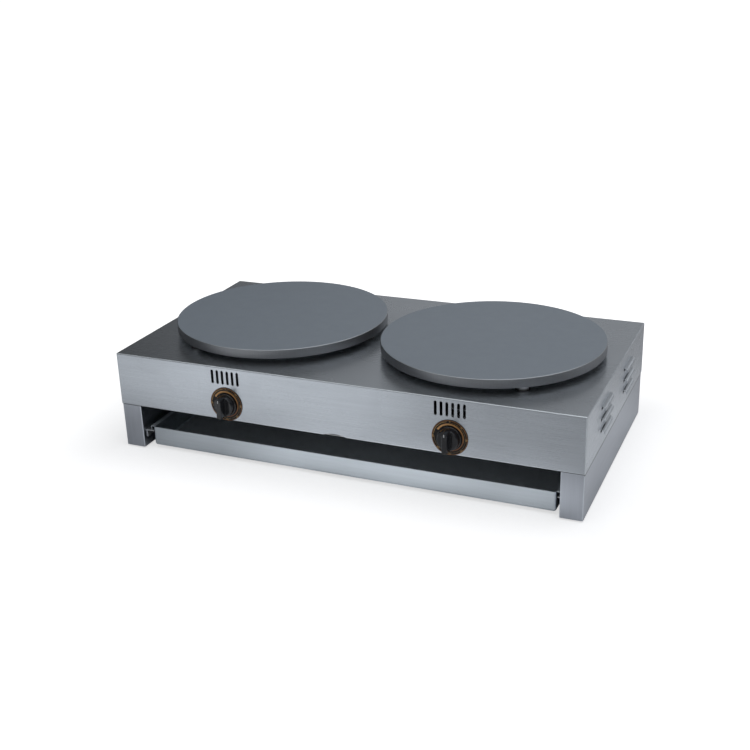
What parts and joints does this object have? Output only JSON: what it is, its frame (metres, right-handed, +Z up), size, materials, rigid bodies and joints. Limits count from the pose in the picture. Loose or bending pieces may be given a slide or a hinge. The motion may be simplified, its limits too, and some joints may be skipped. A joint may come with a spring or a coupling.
{
  "type": "double electric crepe maker",
  "caption": "Countertop crepe maker: low brushed steel housing on boxed side legs, round griddle plates side by side on short feet, thermostat knobs in front and a slide-out drip tray.",
  "frame": {"origin": "on the floor, below the middle of the box that the whole cooker fills", "axes": "+X to the right along the front, +Y to the back, +Z up; the knobs face -Y"},
  "size_m": [0.883, 0.5152, 0.212],
  "materials": {
    "housing_steel": "satin, long horizontal grain",
    "leg_steel": "satin, vertical grain",
    "tray_steel": "satin",
    "inner_steel": "plain galvanised",
    "griddle_iron": "matt, finely machined",
    "foot_steel": "bright",
    "screw_steel": "bright zinc",
    "terminal_brass": "plain",
    "element_sheath": "heat darkened",
    "insulation_wool": "matt",
    "sensor_copper": "drawn",
    "thermostat_body": "matt",
    "dial_face": "gloss, printed",
    "knob_black": "gloss",
    "gland_black": "moulded",
    "terminal_ceramic": "glazed",
    "lead_sheath": "matt",
    "earth_lead_sheath": "matt",
    "pad_rubber": "matt"
  },
  "bodies": {
    "chassis": {"apron_screws": "screw_steel", "back_panel": "housing_steel", "back_panel_screws": "screw_steel", "bottom_panel": "inner_steel", "cable_gland": "gland_black", "clamp_nuts": "screw_steel", "clamp_studs": "screw_steel", "earth_lead": "earth_lead_sheath", "earth_stud": "screw_steel", "foot_screws": "screw_steel", "gland_locknut": "gland_black", "left_dial": "dial_face", "left_element_clamp": "inner_steel", "left_griddle_plate": "griddle_iron", "left_heat_pan": "inner_steel", "left_heating_element": "element_sheath", "left_insulation": "insulation_wool", "left_plate_feet": "foot_steel", "left_runner": "inner_steel", "left_sensor": "sensor_copper", "left_side_leg": "leg_steel", "left_thermostat": "thermostat_body", "left_wiring": "lead_sheath", "leg_bolts": "screw_steel", "rear_apron": "inner_steel", "right_dial": "dial_face", "right_element_clamp": "inner_steel", "right_griddle_plate": "griddle_iron", "right_heat_pan": "inner_steel", "right_heating_element": "element_sheath", "right_insulation": "insulation_wool", "right_plate_feet": "foot_steel", "right_runner": "inner_steel", "right_sensor": "sensor_copper", "right_side_leg": "leg_steel", "right_thermostat": "thermostat_body", "right_wiring": "lead_sheath", "rubber_pads": "pad_rubber", "runner_rivets": "screw_steel", "sensor_clips": "inner_steel", "terminal_block": "terminal_ceramic", "terminal_screws": "terminal_brass", "thermostat_screws": "screw_steel", "top_housing": "housing_steel"},
    "left_knob": {"left_knob": "knob_black", "left_spindle": "screw_steel"},
    "right_knob": {"right_knob": "knob_black", "right_spindle": "screw_steel"},
    "tray": {"drip_tray": "tray_steel"}
  },
  "joints": [
    {"name": "left_knob_turn", "type": "hinge", "parent": "chassis", "child": "left_knob", "pos_m": [-0.209, -0.2276, 0.117], "axis": [0, 1, 0], "range_deg": [0, 270]},
    {"name": "right_knob_turn", "type": "hinge", "parent": "chassis", "child": "right_knob", "pos_m": [0.209, -0.2276, 0.117], "axis": [0, 1, 0], "range_deg": [0, 270]},
    {"name": "tray_slide", "type": "slide", "parent": "chassis", "child": "tray", "axis": [0, -1, 0], "range_m": [0, 0.3]}
  ]
}
